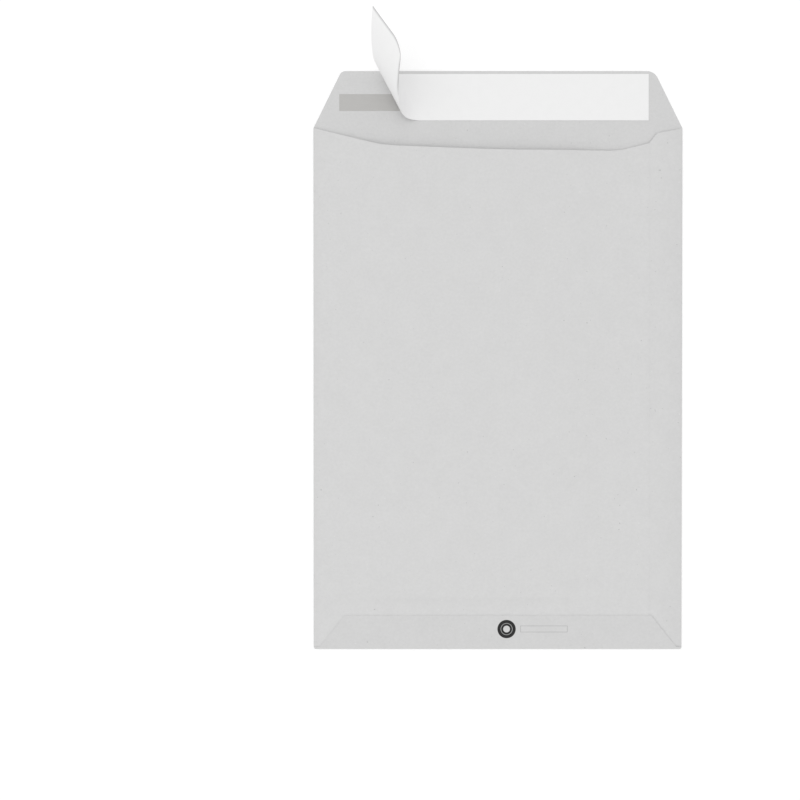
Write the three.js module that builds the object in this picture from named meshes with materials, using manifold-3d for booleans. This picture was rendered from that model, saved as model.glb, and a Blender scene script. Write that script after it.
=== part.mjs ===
// A C4 pocket envelope of recycled paper. It lies on its address side with the throat flap
// open, and the release liner of the flap is half peeled and curls up.
// Millimetres, +Z up. The origin is the middle of the body, on the surface it lies on,
// and +Y points to the flap.

import * as THREE from 'three';
import { mergeVertices } from 'three/addons/utils/BufferGeometryUtils.js';
import Module from 'manifold-3d';

const wasm = await Module();
wasm.setup();

// Body
const bodyWidth = 229;
const bodyHeight = 324;
const paper = 0.15;              // thickness of the sheet
const pocketGap = 0.6;           // air between front panel and side flap
const glueFilm = 0.05;           // thickness of the seam glue
const backCrown = 2.2;           // how far the wide back panel bellies out
const crownRamp = 55;            // width over which it rises from the side folds
const crownRampUp = 130;         // height over which it rises from the bottom flap
const creaseEnd = 0.4;           // creases stop short of the end of their fold by this
const cornerRadius = 1.6;        // bottom corners of the body

// Throat edge of the wide back panel, measured from the throat fold and the side folds
const throatLeftIn = 43.5;
const throatLeftDepth = 11.3;
const throatMiddleIn = 116;
const throatMiddleDepth = 14.1;
const throatRightIn = 40.5;
const throatRightDepth = 14.5;
const throatSeamDepth = 9.5;
const throatFoldDepth = 0.1;
const throatLeftRadius = 70;
const throatMiddleRadius = 900;
const throatRightRadius = 30;

// Side seam and the narrow side flap under it
const seamInset = 20.45;         // cut edge of the wide panel, from the right fold
const seamOverlap = 8;           // what the narrow flap reaches beyond that edge
const seamGlueWidth = 5;
const sideFlapShoulderIn = 15.8;
const sideFlapShoulderDepth = 3.4;
const sideFlapChamfer = 51;      // degrees, its steep upper corner
const sideFlapFootRise = 8;      // its lower inner corner is cut off by this

// Bottom flap
const bottomFlapHeight = 21.2;
const bottomFlapTopIn = 19;      // its free edge starts this far from each side fold
const bottomFlapFootIn = 2.7;    // its chamfers end this far from each side fold
const bottomFlapCorner = 2;
const bottomGlueMargin = 3;
const bottomGlueHeight = 14;

// Throat flap
const flapHeight = 35.3;
const flapSideIn = 17.4;         // how far its slanted sides come in
const flapLeftRadius = 4;
const flapRightRadius = 7.5;

// Window, seen from the back on the right
const windowWidth = 92;
const windowHeight = 56;
const windowFromSide = 17.5;
const windowFromFold = 56.6;
const windowRadius = 4.3;
const paneMargin = 8;            // what the pane laps over the cut-out
const paneGlueInner = 2;
const paneGlueOuter = 7;
const paneGlueFilm = 0.06;
const paneFilm = 0.06;

// Adhesive strip on the throat flap
const adhesiveFromSide = 16;
const adhesiveLength = 190;
const adhesiveFromFold = 10.6;
const adhesiveWidth = 10.4;
const adhesiveFilm = 0.08;

// Release liner, glued down from its right end to the peel line
const linerThickness = 0.1;
const linerFromSide = 20.9;
const linerFromFold = 4.7;
const linerWidth = 28.8;
const peelFromSide = 59.7;       // middle of the peel line, from the left fold
const peelLength = 59.4;         // free length along the middle of the liner
const peelEndSlant = 0.34;       // slant of its end, as the run for each millimetre across
const peelColumns = 60;
const peelRows = 10;
const peelSteps = 120;

// How the free end bends, at runs from the peel line along its middle: the curvature in 1/mm,
// and the lean of the bend lines, as the run along the liner for each millimetre across it
const peelCurvature = [
  { at: 0, value: 0.0976 },
  { at: 10.8, value: 0.0684 },
  { at: 29.7, value: 0.0111 },
  { at: 48.5, value: 0.0065 },
  { at: 67.4, value: 0.006 },
];
const peelLean = [
  { at: 0, value: 0.56 },
  { at: 17.1, value: 0.514 },
  { at: 42.2, value: 0.693 },
  { at: 67.4, value: 0.631 },
];

// Facets
const foldFacets = 8;
const cornerFacets = 8;
const crownColumns = 26;
const crownRows = 22;
const foldLap = 1;               // straight legs of a fold that join it to its panels

// Levels above the surface that the envelope lies on
const sideFlapTop = 2 * paper + pocketGap;
const backPanelUnder = sideFlapTop + glueFilm;
const backPanelTop = backPanelUnder + paper;
const bottomFlapUnder = backPanelTop + glueFilm;
const bottomFlapTop = bottomFlapUnder + paper;
const adhesiveTop = paper + adhesiveFilm;

// Edges of the body
const leftFold = -bodyWidth / 2;
const rightFold = bodyWidth / 2;
const throatFold = bodyHeight / 2;
const bottomFold = -bodyHeight / 2;
const leftBend = leftFold + backPanelTop / 2;
const rightBend = rightFold - sideFlapTop / 2;
const bottomBend = bottomFold + bottomFlapTop / 2;
const panelFoot = bottomBend + 2 * paper;
const creaseTop = throatFold - creaseEnd;
const seamEdge = rightFold - seamInset;
const sideFlapEdge = seamEdge - seamOverlap;

const clamp01 = (value) => Math.min(1, Math.max(0, value));
const smooth = (value) => {
  const s = clamp01(value);
  return s * s * (3 - 2 * s);
};
const radians = THREE.MathUtils.degToRad;

function toManifold(geometry) {
  const bare = geometry.clone();
  bare.deleteAttribute('normal');
  bare.deleteAttribute('uv');
  const merged = mergeVertices(bare, 1e-5);
  return new wasm.Manifold(new wasm.Mesh({
    numProp: 3,
    vertProperties: Float32Array.from(merged.attributes.position.array),
    triVerts: Uint32Array.from(merged.index.array),
  }));
}

function fromManifold(body) {
  const mesh = body.getMesh();
  const geometry = new THREE.BufferGeometry();
  geometry.setAttribute('position', new THREE.BufferAttribute(mesh.vertProperties, 3));
  geometry.setIndex(new THREE.BufferAttribute(mesh.triVerts, 1));
  geometry.computeVertexNormals();
  return geometry;
}

// A closed outline through corner points, each rounded by its own radius
function roundedOutline(corners) {
  const points = [];
  corners.forEach(({ x, y, radius = 0 }, i) => {
    const here = new THREE.Vector2(x, y);
    if (radius === 0) {
      points.push(here);
      return;
    }
    const before = corners[(i + corners.length - 1) % corners.length];
    const after = corners[(i + 1) % corners.length];
    const back = new THREE.Vector2(before.x - x, before.y - y).normalize();
    const ahead = new THREE.Vector2(after.x - x, after.y - y).normalize();
    const half = Math.acos(THREE.MathUtils.clamp(back.dot(ahead), -1, 1)) / 2;
    const centre = back.clone().add(ahead).normalize()
      .multiplyScalar(radius / Math.sin(half)).add(here);
    const first = back.multiplyScalar(radius / Math.tan(half)).add(here).sub(centre);
    const last = ahead.multiplyScalar(radius / Math.tan(half)).add(here).sub(centre);
    const sweep = Math.atan2(first.cross(last), first.dot(last));
    for (let k = 0; k <= cornerFacets; k += 1) {
      points.push(first.clone().rotateAround(new THREE.Vector2(), sweep * k / cornerFacets)
        .add(centre));
    }
  });
  return points;
}

function plate(outline, under, thickness, holes = []) {
  const shape = new THREE.Shape(outline);
  shape.holes = holes.map((hole) => new THREE.Path(hole));
  const geometry = new THREE.ExtrudeGeometry(shape, { depth: thickness, bevelEnabled: false });
  return geometry.translate(0, 0, under);
}

function rectangle(left, right, bottom, top, radius = 0) {
  return roundedOutline([
    { x: left, y: bottom, radius },
    { x: right, y: bottom, radius },
    { x: right, y: top, radius },
    { x: left, y: top, radius },
  ]);
}

// A closed sheet between two grids of points, upper(i, j) and lower(i, j)
function sheetBetween(columns, rows, upper, lower) {
  const positions = [];
  const indices = [];
  const stride = rows + 1;
  const under = (columns + 1) * stride;
  [upper, lower].forEach((pointAt) => {
    for (let i = 0; i <= columns; i += 1) {
      for (let j = 0; j <= rows; j += 1) {
        positions.push(...pointAt(i, j).toArray());
      }
    }
  });
  const at = (i, j) => i * stride + j;
  for (let i = 0; i < columns; i += 1) {
    for (let j = 0; j < rows; j += 1) {
      const [a, b, c, d] = [at(i, j), at(i + 1, j), at(i + 1, j + 1), at(i, j + 1)];
      indices.push(a, b, c, a, c, d);
      indices.push(under + a, under + c, under + b, under + a, under + d, under + c);
    }
  }
  const rim = (a, b) => indices.push(a, under + b, b, a, under + a, under + b);
  for (let i = 0; i < columns; i += 1) {
    rim(at(i, 0), at(i + 1, 0));
    rim(at(i + 1, rows), at(i, rows));
  }
  for (let j = 0; j < rows; j += 1) {
    rim(at(0, j + 1), at(0, j));
    rim(at(columns, j), at(columns, j + 1));
  }
  const geometry = new THREE.BufferGeometry();
  geometry.setAttribute('position', new THREE.Float32BufferAttribute(positions, 3));
  geometry.setIndex(indices);
  geometry.computeVertexNormals();
  return geometry;
}

// A crease of the sheet: half a turn of paper with two short legs, its outside towards +X
function fold(height, length) {
  const radius = height / 2;
  const shape = new THREE.Shape();
  shape.moveTo(-foldLap, 0);
  shape.lineTo(0, 0);
  shape.absarc(0, radius, radius, -Math.PI / 2, Math.PI / 2, false);
  shape.lineTo(-foldLap, height);
  shape.lineTo(-foldLap, height - paper);
  shape.lineTo(0, height - paper);
  shape.absarc(0, radius, radius - paper, Math.PI / 2, -Math.PI / 2, true);
  shape.lineTo(-foldLap, paper);
  const geometry = new THREE.ExtrudeGeometry(shape, {
    depth: length, bevelEnabled: false, curveSegments: foldFacets,
  });
  return geometry.rotateX(Math.PI / 2);
}

// The throat edge of the wide back panel, as a height over x
const throatEdge = roundedOutline([
  { x: leftFold, y: throatFold - throatFoldDepth },
  { x: leftFold + throatLeftIn, y: throatFold - throatLeftDepth, radius: throatLeftRadius },
  { x: leftFold + throatMiddleIn, y: throatFold - throatMiddleDepth, radius: throatMiddleRadius },
  { x: rightFold - throatRightIn, y: throatFold - throatRightDepth, radius: throatRightRadius },
  { x: seamEdge, y: throatFold - throatSeamDepth },
]);

function throatAt(x) {
  const next = throatEdge.findIndex((point, i) => i > 0 && point.x >= x - 1e-9);
  const [a, b] = [throatEdge[next - 1], throatEdge[next]];
  return a.y + (b.y - a.y) * (x - a.x) / (b.x - a.x);
}

function crownAt(x, y) {
  const fromLeft = smooth((x - leftBend - foldLap) / crownRamp);
  const fromSeam = smooth((sideFlapEdge - foldLap - x) / crownRamp);
  const fromBottom = smooth((y - bottomFold - bottomFlapHeight) / crownRampUp);
  return backCrown * fromLeft * fromSeam * fromBottom;
}

function backPanel() {
  const left = leftBend - foldLap / 4;
  const flatLeft = leftBend + foldLap;
  const flatRight = sideFlapEdge - foldLap;
  const columnX = (i) => {
    if (i === 0) return left;
    if (i === crownColumns) return seamEdge;
    return flatLeft + (flatRight - flatLeft) * (i - 1) / (crownColumns - 2);
  };
  const flatTop = bottomFold + bottomFlapHeight;
  const pointAt = (i, j, level) => {
    const x = columnX(i);
    const y = j === 0 ? panelFoot
      : flatTop + (throatAt(x) - flatTop) * (j - 1) / (crownRows - 1);
    return new THREE.Vector3(x, y, level + crownAt(x, y));
  };
  return sheetBetween(
    crownColumns,
    crownRows,
    (i, j) => pointAt(i, j, backPanelTop),
    (i, j) => pointAt(i, j, backPanelUnder),
  );
}

function windowOutline(margin) {
  const right = rightFold - windowFromSide;
  const top = throatFold - windowFromFold;
  return rectangle(
    right - windowWidth - margin,
    right + margin,
    top - windowHeight - margin,
    top + margin,
    windowRadius,
  );
}

// Front panel and throat flap lie in one plane
function frontAndFlap() {
  const flapTop = throatFold + flapHeight;
  const outline = roundedOutline([
    { x: leftBend, y: bottomBend },
    { x: rightBend, y: bottomBend },
    { x: rightBend, y: throatFold },
    { x: rightFold, y: throatFold },
    { x: rightFold - flapSideIn, y: flapTop, radius: flapRightRadius },
    { x: leftFold + flapSideIn, y: flapTop, radius: flapLeftRadius },
    { x: leftFold, y: throatFold },
    { x: leftBend, y: throatFold },
  ]);
  return plate(outline, 0, paper, [windowOutline(0)]);
}

function sideFlap() {
  const shoulder = throatFold - sideFlapShoulderDepth;
  const shoulderX = rightFold - sideFlapShoulderIn;
  const drop = (shoulderX - sideFlapEdge) * Math.tan(radians(sideFlapChamfer));
  return plate([
    new THREE.Vector2(sideFlapEdge, panelFoot + sideFlapFootRise),
    new THREE.Vector2(sideFlapEdge + sideFlapFootRise, panelFoot),
    new THREE.Vector2(rightBend, panelFoot),
    new THREE.Vector2(rightBend, creaseTop),
    new THREE.Vector2(shoulderX, shoulder),
    new THREE.Vector2(sideFlapEdge, shoulder - drop),
  ], sideFlapTop - paper, paper);
}

function bottomFlap() {
  const free = bottomFold + bottomFlapHeight;
  const outline = roundedOutline([
    { x: leftFold + bottomFlapFootIn, y: bottomBend },
    { x: rightFold - bottomFlapFootIn, y: bottomBend },
    { x: rightFold - bottomFlapTopIn, y: free, radius: bottomFlapCorner },
    { x: leftFold + bottomFlapTopIn, y: free, radius: bottomFlapCorner },
  ]);
  return plate(outline, bottomFlapUnder, paper);
}

function paperBlank() {
  const sideLength = creaseTop - panelFoot;
  const rightCrease = fold(sideFlapTop, sideLength).translate(rightBend, creaseTop, 0);
  const leftCrease = fold(backPanelTop, sideLength).rotateZ(Math.PI)
    .translate(leftBend, panelFoot, 0);
  const bottomCrease = fold(bottomFlapTop, bodyWidth - 2 * creaseEnd).rotateZ(-Math.PI / 2)
    .translate(rightFold - creaseEnd, bottomBend, 0);
  const parts = [
    frontAndFlap(), backPanel(), sideFlap(), bottomFlap(),
    leftCrease, rightCrease, bottomCrease,
  ];
  const folded = parts.map(toManifold).reduce((whole, part) => whole.add(part));
  const trim = plate(roundedOutline([
    { x: leftFold, y: bottomFold, radius: cornerRadius },
    { x: rightFold, y: bottomFold, radius: cornerRadius },
    { x: rightFold, y: throatFold + flapHeight },
    { x: leftFold, y: throatFold + flapHeight },
  ]), 0, bottomFlapTop + backCrown);
  return fromManifold(folded.intersect(toManifold(trim)));
}

function windowPane() {
  return plate(windowOutline(paneMargin), paper + paneGlueFilm, paneFilm);
}

function windowGlue() {
  return plate(windowOutline(paneGlueOuter), paper, paneGlueFilm, [windowOutline(paneGlueInner)]);
}

function sideSeamGlue() {
  const middle = (seamEdge + sideFlapEdge) / 2;
  const shoulderX = rightFold - sideFlapShoulderIn;
  const drop = (shoulderX - sideFlapEdge) * Math.tan(radians(sideFlapChamfer));
  return plate(rectangle(
    middle - seamGlueWidth / 2,
    middle + seamGlueWidth / 2,
    bottomFold + bottomFlapHeight,
    throatFold - sideFlapShoulderDepth - drop,
  ), sideFlapTop, glueFilm);
}

function bottomSeamGlue() {
  const free = bottomFold + bottomFlapHeight - bottomGlueMargin;
  return plate(rectangle(
    leftFold + bottomFlapTopIn,
    seamEdge - bottomGlueMargin,
    free - bottomGlueHeight,
    free,
  ), backPanelTop, glueFilm);
}

function adhesiveStrip() {
  const left = leftFold + adhesiveFromSide;
  const bottom = throatFold + adhesiveFromFold;
  return plate(rectangle(left, left + adhesiveLength, bottom, bottom + adhesiveWidth),
    paper, adhesiveFilm);
}

// The free end is a developable strip: along its middle it bends about lines that lean
// to the fold, tightly at first, so it lifts, swings towards the flap's edge and stands up
function peelFrames() {
  const lookUp = (stations, at) => {
    const next = stations.findIndex((station) => station.at > at);
    if (next < 0) return stations[stations.length - 1].value;
    const [a, b] = [stations[next - 1], stations[next]];
    return a.value + (b.value - a.value) * (at - a.at) / (b.at - a.at);
  };
  const endLean = lookUp(peelLean, peelLength);
  const reach = peelLength + (endLean + peelEndSlant) * linerWidth / 2;
  const step = reach / peelSteps;
  const origin = new THREE.Vector3(
    leftFold + peelFromSide,
    throatFold + linerFromFold + linerWidth / 2,
    adhesiveTop + linerThickness / 2,
  );
  const along = new THREE.Vector3(-1, 0, 0);
  const across = new THREE.Vector3(0, 1, 0);
  const frames = [];
  for (let k = 0; k <= peelSteps; k += 1) {
    frames.push({
      at: k * step,
      lean: lookUp(peelLean, k * step),
      origin: origin.clone(),
      along: along.clone(),
      across: across.clone(),
    });
    const curvature = lookUp(peelCurvature, (k + 0.5) * step);
    const lean = lookUp(peelLean, (k + 0.5) * step);
    const axis = across.clone().addScaledVector(along, lean).normalize();
    const turn = curvature * Math.hypot(1, lean) * step;
    origin.addScaledVector(along, step / 2);
    along.applyAxisAngle(axis, turn);
    across.applyAxisAngle(axis, turn);
    origin.addScaledVector(along, step / 2);
  }
  return frames;
}

function releaseLiner() {
  const frames = peelFrames();
  const flatLength = rightFold - linerFromSide - (leftFold + peelFromSide);
  const first = frames[0];
  const pointAt = (run, offset, lift) => {
    const reached = (frame) => frame.at + frame.lean * offset;
    const place = (frame) => frame.origin.clone()
      .addScaledVector(frame.across, offset)
      .addScaledVector(frame.along, frame.lean * offset)
      .addScaledVector(new THREE.Vector3().crossVectors(frame.across, frame.along), lift);
    if (run <= reached(first)) {
      return place(first).addScaledVector(first.along, run - reached(first));
    }
    const next = frames.findIndex((frame) => reached(frame) >= run);
    const [a, b] = [frames[next - 1], frames[next]];
    const share = (run - reached(a)) / (reached(b) - reached(a));
    return place(a).lerp(place(b), share);
  };
  const lead = linerWidth / 2;
  const runAt = (i, endRun) => (i === 0 ? -flatLength
    : -lead + (endRun + lead) * (i - 1) / (peelColumns - 1));
  const grid = (lift) => (i, j) => {
    const offset = linerWidth * (0.5 - j / peelRows);
    const endRun = peelLength + peelEndSlant * offset;
    return pointAt(runAt(i, endRun), offset, lift * linerThickness / 2);
  };
  return sheetBetween(peelColumns, peelRows, grid(1), grid(-1));
}

const recycledPaper = new THREE.MeshStandardMaterial({ color: 0xd5d5d4, roughness: 0.9 });
const glassine = new THREE.MeshStandardMaterial({
  color: 0xcacac9, roughness: 0.45, transparent: true, opacity: 0.6,
});
const glue = new THREE.MeshStandardMaterial({ color: 0xd9d6cd, roughness: 0.5 });
const stickyFilm = new THREE.MeshStandardMaterial({ color: 0xbcbbb9, roughness: 0.35 });
const siliconePaper = new THREE.MeshStandardMaterial({ color: 0xefefef, roughness: 0.4 });

function piece(name, geometry, material) {
  const mesh = new THREE.Mesh(geometry, material);
  mesh.name = name;
  return mesh;
}

const envelope = new THREE.Group();
envelope.add(
  piece('paper_blank', paperBlank(), recycledPaper),
  piece('window_pane', windowPane(), glassine),
  piece('window_glue', windowGlue(), glue),
  piece('side_seam_glue', sideSeamGlue(), glue),
  piece('bottom_seam_glue', bottomSeamGlue(), glue),
  piece('adhesive_strip', adhesiveStrip(), stickyFilm),
  piece('release_liner', releaseLiner(), siliconePaper),
);

export default envelope;
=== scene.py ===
import math

import bpy
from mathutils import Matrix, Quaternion, Vector


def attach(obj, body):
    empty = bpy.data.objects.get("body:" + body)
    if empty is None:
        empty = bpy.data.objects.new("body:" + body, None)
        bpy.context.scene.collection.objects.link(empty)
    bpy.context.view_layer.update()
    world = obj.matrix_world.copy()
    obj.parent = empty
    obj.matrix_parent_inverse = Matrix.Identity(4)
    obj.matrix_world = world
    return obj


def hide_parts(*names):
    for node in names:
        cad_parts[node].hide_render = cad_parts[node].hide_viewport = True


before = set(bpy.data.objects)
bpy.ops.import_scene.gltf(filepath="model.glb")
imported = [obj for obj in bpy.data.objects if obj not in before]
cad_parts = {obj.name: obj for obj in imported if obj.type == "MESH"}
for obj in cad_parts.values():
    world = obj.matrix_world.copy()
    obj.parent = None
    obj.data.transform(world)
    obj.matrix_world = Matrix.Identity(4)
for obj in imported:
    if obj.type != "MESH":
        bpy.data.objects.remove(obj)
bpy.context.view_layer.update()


# shader maths written as plain expressions on a socket
class Wire:
    def __init__(self, nodes, socket):
        self.nodes = nodes
        self.socket = socket

    def maths(self, operation, *values, clamp=False):
        settings = {"operation": operation, "use_clamp": clamp}
        made = self.nodes.node("ShaderNodeMath", settings, *values)
        return self.nodes.wire(made, "Value")

    def __add__(self, other):
        return self.maths("ADD", self, other)

    def __radd__(self, other):
        return self.maths("ADD", other, self)

    def __sub__(self, other):
        return self.maths("SUBTRACT", self, other)

    def __rsub__(self, other):
        return self.maths("SUBTRACT", other, self)

    def __mul__(self, other):
        return self.maths("MULTIPLY", self, other)

    def __rmul__(self, other):
        return self.maths("MULTIPLY", other, self)

    def __truediv__(self, other):
        return self.maths("DIVIDE", self, other)

    def __rtruediv__(self, other):
        return self.maths("DIVIDE", other, self)

    def root(self):
        return self.maths("SQRT", self)

    def atLeast(self, other):
        return self.maths("MAXIMUM", self, other)

    def clipped(self):  # kept between 0 and 1
        return self.maths("ADD", self, 0.0, clamp=True)

    def below(self, edge, soft):  # 1 under the edge, falling to 0 across soft
        return ((edge - self) / soft + 0.5).clipped()

    def above(self, edge, soft):
        return ((self - edge) / soft + 0.5).clipped()


class Nodes:
    def __init__(self, tree):
        self.tree = tree

    def join(self, value, socket):
        if isinstance(value, Wire):
            self.tree.links.new(value.socket, socket)
        else:
            socket.default_value = value

    # settings come first, because they decide which sockets a node shows; values go to
    # these in order, or by name with _ for a space
    def node(self, kind, settings=None, *values, **named):
        made = self.tree.nodes.new(kind)
        for key, value in (settings or {}).items():
            setattr(made, key, value)
        shown = [socket for socket in made.inputs if socket.enabled]
        for socket, value in zip(shown, values):
            self.join(value, socket)
        for key, value in named.items():
            name = key.replace("_", " ")
            self.join(value, next(socket for socket in shown if socket.name == name))
        return made

    def wire(self, made, name):
        return Wire(self, next(s for s in made.outputs if s.name == name and s.enabled))


class Finish(Nodes):
    def __init__(self, name):
        self.material = bpy.data.materials.new(name)
        self.material.use_nodes = True
        super().__init__(self.material.node_tree)
        self.tree.nodes.clear()
        self.output = self.node("ShaderNodeOutputMaterial")

    def place(self):
        return self.wire(self.node("ShaderNodeTexCoord"), "Object")

    def painted(self, name):  # an attribute of the mesh
        made = self.node("ShaderNodeAttribute", {"attribute_name": name})
        return self.wire(made, "Fac")

    def axes(self, place):
        made = self.node("ShaderNodeSeparateXYZ", Vector=place)
        return [self.wire(made, key) for key in "XYZ"]

    def noise(self, place, scale, detail, roughness):
        made = self.node("ShaderNodeTexNoise", Vector=place, Scale=scale, Detail=detail,
                         Roughness=roughness)
        return self.wire(made, "Fac")

    def stretched(self, place, scale):
        return self.wire(self.node("ShaderNodeMapping", Vector=place, Scale=scale), "Vector")

    def mix(self, factor, first, second):
        made = self.node("ShaderNodeMix", {"data_type": "RGBA"}, factor, first, second)
        return self.wire(made, "Result")

    def bump(self, height, distance, **under):
        made = self.node("ShaderNodeBump", Height=height, Distance=distance, Strength=1.0, **under)
        return self.wire(made, "Normal")

    def principled(self, specular, **sockets):
        made = self.node("ShaderNodeBsdfPrincipled", Specular_IOR_Level=specular, **sockets)
        self.join(self.wire(made, "BSDF"), self.output.inputs["Surface"])


def grey(level, warm=0.0):  # a display level from 0 to 255, warmer if asked, as linear light
    def linear(value):
        share = value / 255
        return share / 12.92 if share <= 0.04045 else ((share + 0.055) / 1.055) ** 2.4
    return (linear(level + warm), linear(level + warm * 0.3), linear(level - warm), 1.0)


def mottled(finish, factor, look, level):  # from a little darker to a little lighter
    warm = look.get("warmth", 0.0)
    return finish.mix(factor, grey(level - look["spread"], warm),
                      grey(level + look["spread"], warm))


def within(value, low, high, soft):
    return value.above(low, soft) * value.below(high, soft)


# levels are display levels; a noise is scale, detail and roughness; an edge is its place and
# its softness
paperLook = {
    "level": 213,            # of the outer face
    "innerPaintedShade": 3.4,        # painted shade: the inner face, on the open flap and inside the throat, is this much darker
    "spread": 8.5,           # of clouds and grain together
    "warmth": 0.1,
    "cloud": (80.0, 4.0, 0.6),
    "grain": (560.0, 3.0, 0.6),
    "grainShare": 0.65,
    "roughness": 0.86,
    "specular": 0.25,
    "grainBump": 0.00003,
    "cloudBump": 0.0001,
    "innerHeights": (0.0001, 0.0005, 0.00005),  # the inner face lies between these, and ...
    "innerFrom": (0.130, 0.002),   # ... beyond this, in the throat and on the flap
    "flapPaintedShade": 3,           # painted shade: the bottom flap is this much darker
    "flapAbove": (0.00114, 0.00004),
    "flapBelow": (-0.130, 0.002),
    # painted shade: darker towards the side folds, where the back slopes away from the light
    "sidePaintedShade": 5,           # at most this much darker along the side folds, by ...
    "sideRamps": (           # ... side, place, softness and share
        (1, 0.1045, 0.0200, 0.6),
        (1, 0.1137, 0.0016, 0.4),
        (-1, 0.1125, 0.0040, 0.4),
    ),
}

speckLook = {
    "dark": {"noise": (600.0, 1.0, 0.4), "edge": (0.79, 0.04), "level": 165, "share": 0.5},
    "light": {"noise": (520.0, 1.0, 0.4), "edge": (0.80, 0.05), "level": 226, "share": 0.5},
}

# the printed marks on the bottom flap, kept bare: a seal of plain rings and an empty bar
markLook = {
    "seal": (0.0055, -0.1494),   # its middle
    "sealRings": (           # inner and outer radius, and strength of the ink
        (0.0021, 0.0034, 1.0),
        (0.0034, 0.0037, 0.35),
        (0.0037, 0.0057, 1.0),
    ),
    "bar": (0.0140, 0.0434, -0.1514, -0.1473),  # left, right, low and high
    "barLine": 0.00028,
    "barInk": 0.35,
    "soft": 0.00012,
    "ink": 44,
    "face": (0.00118, 0.00002),  # the height above which they show
}


def printedMarks(x, y, z):
    look = markLook
    across, up = x - look["seal"][0], y - look["seal"][1]
    reach = (across * across + up * up).root()
    ink = 0.0
    for inner, outer, strength in look["sealRings"]:
        ink = within(reach, inner, outer, look["soft"]) * strength + ink
    left, right, low, high = look["bar"]
    line, soft = look["barLine"], look["soft"]
    outside = within(x, left, right, soft) * within(y, low, high, soft)
    inside = within(x, left + line, right - line, soft) * within(y, low + line, high - line, soft)
    frameLine = (outside - inside).clipped() * look["barInk"]
    return (ink + frameLine).clipped() * z.above(*look["face"])


def recycledPaper():
    look = paperLook
    finish = Finish("recycledPaper")
    place = finish.place()
    x, y, z = finish.axes(place)
    cloud = finish.noise(place, *look["cloud"])
    grain = finish.noise(place, *look["grain"])
    blend = cloud * (1 - look["grainShare"]) + grain * look["grainShare"]

    # the paper's tone made darker by a loss in levels, used below to paint shade
    def face(loss):
        return mottled(finish, blend, look, look["level"] - loss)

    # painted shade on the inner face of the open flap and the throat
    inner = within(z, *look["innerHeights"]) * y.above(*look["innerFrom"])
    tone = finish.mix(inner, face(0), face(look["innerPaintedShade"]))
    # painted shade on the bottom flap
    flap = z.above(*look["flapAbove"]) * y.below(*look["flapBelow"])
    tone = finish.mix(flap, tone, face(look["flapPaintedShade"]))
    # painted shade along the side folds
    side = 0.0
    for hand, edge, soft, share in look["sideRamps"]:
        side = (x * hand).above(edge, soft) * share + side
    tone = finish.mix(side, tone, face(look["sidePaintedShade"]))
    for speck in speckLook.values():
        spots = finish.noise(place, *speck["noise"]).above(*speck["edge"]) * speck["share"]
        tone = finish.mix(spots, tone, grey(speck["level"]))
    tone = finish.mix(printedMarks(x, y, z), tone, grey(markLook["ink"]))
    fine = finish.bump(grain, look["grainBump"])
    finish.principled(look["specular"], Roughness=look["roughness"], Base_Color=tone,
                      Normal=finish.bump(cloud, look["cloudBump"], Normal=fine))
    return finish.material


linerLook = {"level": 240, "underPaintedLightLevel": 246, "edgeShadeLevel": 186, "spread": 1.5,
             "cloud": (160.0, 3.0, 0.5), "roughness": 0.5, "specular": 0.25, "bump": 0.00003}


def releasePaper():
    look = linerLook
    finish = Finish("releasePaper")
    cloud = finish.noise(finish.place(), *look["cloud"])
    upper = mottled(finish, cloud, look, look["level"])
    under = mottled(finish, cloud, look, look["underPaintedLightLevel"])
    # painted light: the underside, which faces up on the curled end, is painted lighter than the
    # upper side
    tone = finish.mix(finish.painted("underside"), upper, under)
    # painted shade: the free edges of the curled end are painted grey, where they turn out of the
    # light
    tone = finish.mix(finish.painted("paintedEdgeShade"), tone, grey(look["edgeShadeLevel"]))
    finish.principled(look["specular"], Roughness=look["roughness"], Base_Color=tone,
                      Normal=finish.bump(cloud, look["bump"]))
    return finish.material


adhesiveLook = {"level": 182, "spread": 4, "warmth": 1.5, "streaks": (60, 900, 60),
                "streak": (1.0, 3.0, 0.6), "blotch": (260.0, 3.0, 0.6), "streakShare": 0.5,
                "roughness": 0.42, "specular": 0.4, "bump": 0.00004}


def tackyFilm():
    look = adhesiveLook
    finish = Finish("tackyFilm")
    place = finish.place()
    streaks = finish.noise(finish.stretched(place, look["streaks"]), *look["streak"])
    blotch = finish.noise(place, *look["blotch"])
    blend = streaks * look["streakShare"] + blotch * (1 - look["streakShare"])
    finish.principled(look["specular"], Roughness=look["roughness"],
                      Base_Color=mottled(finish, blend, look, look["level"]),
                      Normal=finish.bump(blotch, look["bump"]))
    return finish.material


paneLook = {"level": 222, "spread": 3, "cloud": (140.0, 4.0, 0.6), "roughness": 0.3,
            "specular": 0.5, "opacity": 0.6}


def glassineFilm():
    look = paneLook
    finish = Finish("glassineFilm")
    cloud = finish.noise(finish.place(), *look["cloud"])
    finish.principled(look["specular"], Roughness=look["roughness"],
                      Base_Color=mottled(finish, cloud, look, look["level"]),
                      Alpha=look["opacity"])
    return finish.material


glueLook = {"level": 207, "spread": 7, "warmth": 4, "blotch": (300.0, 3.0, 0.6),
            "roughness": 0.5, "specular": 0.4}


def driedGlue():
    look = glueLook
    finish = Finish("driedGlue")
    blotch = finish.noise(finish.place(), *look["blotch"])
    finish.principled(look["specular"], Roughness=look["roughness"],
                      Base_Color=mottled(finish, blotch, look, look["level"]))
    return finish.material


def dress(piece, material):
    piece.data.materials.clear()
    piece.data.materials.append(material)


glueFinish = driedGlue()
for nodeName, material in {
    "window_pane": glassineFilm(),
    "window_glue": glueFinish,
    "side_seam_glue": glueFinish,
    "bottom_seam_glue": glueFinish,
    "adhesive_strip": tackyFilm(),
}.items():
    dress(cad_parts[nodeName], material)
print("stage: films and glue")

# the folded sheet is taken over as one welded skin, so that its bends and its bellied back
# are shaded smoothly
skinShape = {"weld": 0.000002, "smoothAngle": 35}


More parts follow.
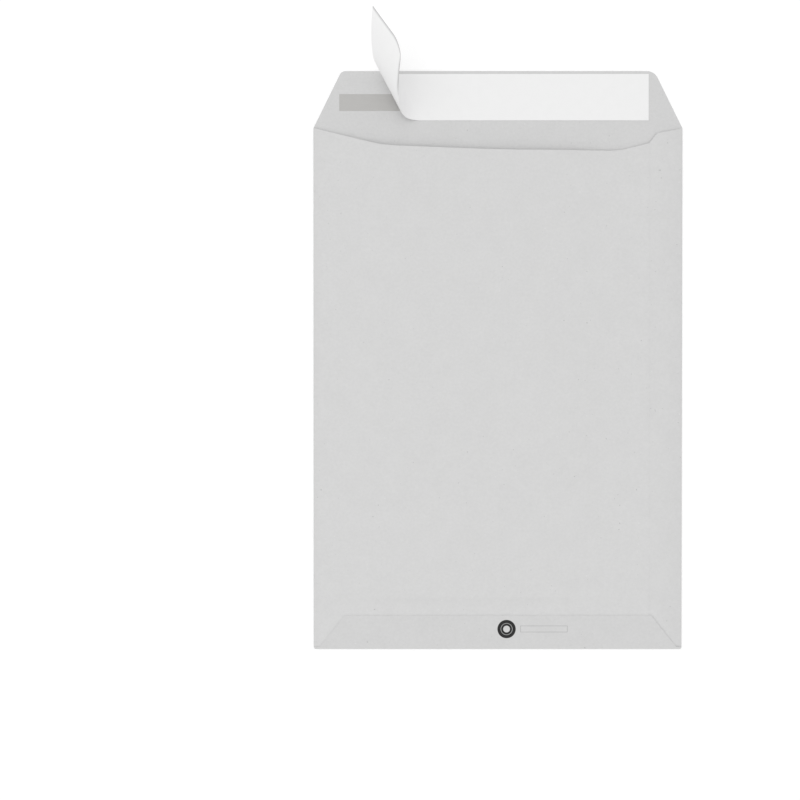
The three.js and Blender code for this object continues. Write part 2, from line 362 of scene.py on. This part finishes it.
def foldedSheet():
    piece = bpy.data.objects.new("foldedSheet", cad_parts["paper_blank"].data.copy())
    bpy.context.scene.collection.objects.link(piece)
    bpy.ops.object.select_all(action="DESELECT")
    piece.select_set(True)
    bpy.context.view_layer.objects.active = piece
    bpy.ops.object.mode_set(mode="EDIT")
    bpy.ops.mesh.select_all(action="SELECT")
    bpy.ops.mesh.remove_doubles(threshold=skinShape["weld"])
    bpy.ops.object.mode_set(mode="OBJECT")
    bpy.ops.mesh.customdata_custom_splitnormals_clear()
    bpy.ops.object.shade_smooth_by_angle(angle=math.radians(skinShape["smoothAngle"]))
    dress(piece, recycledPaper())
    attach(piece, "root")
    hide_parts("paper_blank")


foldedSheet()
print("stage: folded sheet")

# the liner again, finer than its solid: the same strip, with a rounded corner at its free
# end and a near edge that rolls up a little
stripShape = {
    "peelLine": -0.0548,     # middle of the peel line
    "flatEnd": 0.0936,       # the other end, which lies flat
    "middle": 0.1811,        # of its width
    "level": 0.00028,        # height of the middle of its thickness where it lies flat
    "width": 0.0288,
    "thickness": 0.0001,
    "length": 0.0610,        # free length along its middle
    "endSlant": 0.351,       # how much longer it is for each metre across
    "cornerRadius": 0.0101,
    # how the free end bends, at runs from the peel line: curvature in 1/m, and the lean of
    # the bend lines, as the run along the strip for each metre across it
    "curvature": ((0, 84.7), (0.0108, 71.1), (0.0297, 8.2), (0.0485, 8.4), (0.0674, 5.3)),
    "lean": ((0, 0.468), (0.0171, 0.566), (0.0422, 0.699), (0.0674, 0.785)),
    "rollFrom": 0.0121,      # distance from the middle where the near edge starts to roll
    "rollRadius": 0.0064,
    "rollRuns": (0.0246, 0.0494),   # the roll grows between these
    # painted shade: a grey band painted along the free edges of the curled end
    "edgeShade": 0.0018,     # the free edges are grey this far in ...
    "edgeRuns": (0.0220, 0.0300),   # ... growing between these
    "columns": 150,
    "rows": 48,
    "steps": 240,
    "smoothAngle": 50,
}


def lookUp(stations, run):
    for (before, low), (after, high) in zip(stations, stations[1:]):
        if run < after:
            return low + (high - low) * (run - before) / (after - before)
    return stations[-1][1]


def ramp(value, begins, full):
    return min(1.0, max(0.0, (value - begins) / (full - begins)))


# frames along the middle: run, lean, place, and the directions along and across
def stripFrames(shape):
    step = (shape["length"] + shape["width"]) / shape["steps"]
    origin = Vector((shape["peelLine"], shape["middle"], shape["level"]))
    along, across = Vector((-1.0, 0.0, 0.0)), Vector((0.0, 1.0, 0.0))
    frames = []
    for k in range(shape["steps"] + 1):
        frames.append((k * step, lookUp(shape["lean"], k * step), origin.copy(),
                       along.copy(), across.copy()))
        lean = lookUp(shape["lean"], (k + 0.5) * step)
        turn = lookUp(shape["curvature"], (k + 0.5) * step) * math.hypot(1, lean) * step
        spin = Quaternion((across + along * lean).normalized(), turn)
        origin += along * step / 2
        along.rotate(spin)
        across.rotate(spin)
        origin += along * step / 2
    return frames


# a point of the strip and the normal of its upper side, at a run along it and an offset
# across it
def stripPoint(frames, run, offset):
    _, lean, origin, along, across = frames[0]
    if run <= lean * offset:
        return origin + across * offset + along * run, across.cross(along)
    for before, after in zip(frames, frames[1:]):
        near, far = before[0] + before[1] * offset, after[0] + after[1] * offset
        if far >= run:
            break
    share = (run - near) / (far - near)
    places, normals = [], []
    for _, lean, origin, along, across in (before, after):
        places.append(origin + across * offset + along * (lean * offset))
        normals.append(across.cross(along))
    return places[0].lerp(places[1], share), normals[0].lerp(normals[1], share).normalized()


def rolledPoint(shape, frames, run, offset):
    place = stripPoint(frames, run, offset)[0]
    beyond = -offset - shape["rollFrom"]
    share = ramp(run, *shape["rollRuns"])
    if beyond <= 0 or share == 0:
        return place
    kept, normal = stripPoint(frames, run, offset + beyond)
    radius = shape["rollRadius"] / (share * share * (3 - 2 * share))
    turn = beyond / radius
    return (kept + (place - kept).normalized() * (radius * math.sin(turn))
            - normal * (radius * (1 - math.cos(turn))))


def stripEnd(shape, offset):  # how far the strip runs, with its rounded corner
    radius = shape["cornerRadius"]
    inCorner = max(0.0, radius - shape["width"] / 2 - offset)
    return (shape["length"] + shape["endSlant"] * offset
            - radius + math.sqrt(radius * radius - inCorner * inCorner))


def peeledLiner():
    shape = stripShape
    frames = stripFrames(shape)
    half = shape["width"] / 2
    bpy.ops.object.select_all(action="DESELECT")
    bpy.ops.mesh.primitive_grid_add(x_subdivisions=shape["columns"],
                                    y_subdivisions=shape["rows"], size=2)
    piece = bpy.context.object
    piece.name = "peeledLiner"
    edgeShadeValues = []
    for vertex in piece.data.vertices:  # the grid lies between -1 and 1 both ways
        offset = vertex.co.y * half
        column = round((vertex.co.x + 1) / 2 * shape["columns"])
        end = stripEnd(shape, offset)
        run = -half + (end + half) * (column - 1) / (shape["columns"] - 1)
        if column == 0:      # at the flat end
            run = shape["peelLine"] - shape["flatEnd"]
        vertex.co = rolledPoint(shape, frames, run, offset)
        # how much painted edge shade each point gets
        inside = min(offset + half, end - run)
        edgeShadeValues.append(ramp(run, *shape["edgeRuns"]) * (1 - ramp(inside, 0, shape["edgeShade"])))
    dress(piece, releasePaper())
    wall = piece.modifiers.new("wall", "SOLIDIFY")
    wall.thickness = shape["thickness"]
    wall.offset = 0.0
    bpy.ops.object.modifier_apply(modifier="wall")
    side = piece.data.attributes.new("underside", "FLOAT", "POINT")
    edge = piece.data.attributes.new("paintedEdgeShade", "FLOAT", "POINT")
    for k in range(len(piece.data.vertices)):  # the underside's come first
        side.data[k].value = 1.0 if k < len(edgeShadeValues) else 0.0
        edge.data[k].value = edgeShadeValues[k % len(edgeShadeValues)]
    bpy.ops.object.shade_smooth_by_angle(angle=math.radians(shape["smoothAngle"]))
    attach(piece, "root")
    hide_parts("release_liner")


peeledLiner()
print("stage: peeled liner")

floorLook = {"size": 6.0, "under": 0.0003, "albedo": 0.95, "lift": 0.11}
black, white = (0.0, 0.0, 0.0, 1.0), (1.0, 1.0, 1.0, 1.0)


def seenDirectly(nodes):  # 1 for rays from the camera, off shiny faces and through clear ones
    rays = nodes.node("ShaderNodeLightPath")
    camera, glossy, through = (nodes.wire(rays, f"Is {kind} Ray")
                               for kind in ("Camera", "Glossy", "Transmission"))
    return camera.atLeast(glossy).atLeast(through)


def whiteTable():
    look = floorLook
    bpy.ops.object.select_all(action="DESELECT")
    bpy.ops.mesh.primitive_plane_add(size=look["size"], location=(0, 0, -look["under"]))
    floor = bpy.context.object
    floor.name = "table"
    finish = Finish("whiteTable")
    lift = finish.mix(seenDirectly(finish) * look["lift"], black, white)
    finish.principled(0.0, Roughness=1.0, Base_Color=(look["albedo"],) * 3 + (1.0,),
                      Emission_Color=lift, Emission_Strength=1.0)
    floor.data.materials.append(finish.material)


whiteTable()

# above the table, with the width that it sees there and a tilt in degrees
cameraPlace = {"x": -0.0608, "y": -0.0033, "height": 0.560, "fieldWidth": 0.4980,
               "tilt": -0.37, "sensor": 36.0, "nearest": 0.01}


def lookDown():
    look = cameraPlace
    data = bpy.data.cameras.new("above")
    camera = bpy.data.objects.new("above", data)
    bpy.context.scene.collection.objects.link(camera)
    camera.location = (look["x"], look["y"], look["height"])
    camera.rotation_euler = (math.radians(look["tilt"]), 0.0, 0.0)
    data.sensor_width = look["sensor"]
    data.lens = look["sensor"] * look["height"] / look["fieldWidth"]
    data.clip_start = look["nearest"]
    bpy.context.scene.camera = camera


lookDown()

# the sky's strength is for what it lights; seen directly it is pure white
lampLook = {"place": (-0.8, -0.1, 2.9), "size": 4.0, "power": 25.5, "sky": 0.82}


def studioLight():
    look = lampLook
    data = bpy.data.lights.new("softbox", "AREA")
    data.shape = "SQUARE"
    data.size = look["size"]
    data.energy = look["power"]
    lamp = bpy.data.objects.new("softbox", data)
    bpy.context.scene.collection.objects.link(lamp)
    lamp.location = look["place"]
    lamp.rotation_euler = (-Vector(look["place"])).to_track_quat("-Z", "Y").to_euler()
    world = bpy.data.worlds.new("studio")
    bpy.context.scene.world = world
    world.use_nodes = True
    sky = Nodes(world.node_tree)
    background = sky.tree.nodes["Background"]
    sky.join(white, background.inputs["Color"])
    sky.join(seenDirectly(sky) * (1 - look["sky"]) + look["sky"], background.inputs["Strength"])


studioLight()
bpy.context.scene.view_settings.view_transform = "Standard"
print("stage: table, lamp and camera")
